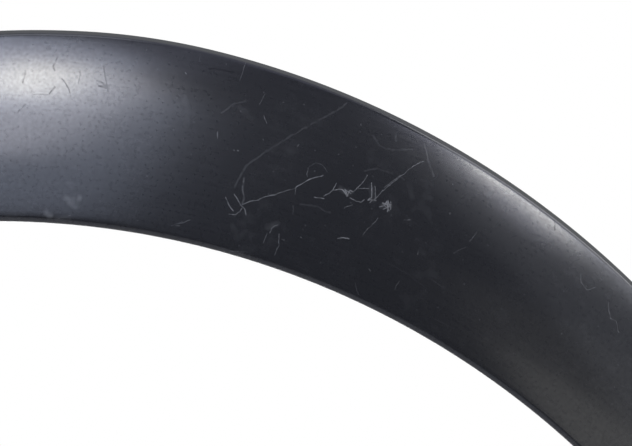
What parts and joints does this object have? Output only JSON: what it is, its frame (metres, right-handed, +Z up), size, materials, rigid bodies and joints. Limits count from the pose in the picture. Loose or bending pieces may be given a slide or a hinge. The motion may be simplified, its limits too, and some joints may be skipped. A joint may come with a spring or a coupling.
{
  "type": "wheel arch trim",
  "caption": "Black moulded plastic wheel arch trim: a bulged arched band with a rounded edge, a rolled lip, and clips behind it that push into the wing.",
  "frame": {"origin": "centre of the wheel opening, on the plane where the trim seats on the wing", "axes": "+X along the car, +Y into the wing (the face looks towards -Y), +Z up"},
  "size_m": [0.8998, 0.0508, 0.5082],
  "materials": {
    "moulded_plastic": "satin",
    "clip_plastic": "satin"
  },
  "bodies": {
    "root": {"arch_moulding": "moulded_plastic", "retaining_clips": "clip_plastic"}
  },
  "joints": []
}
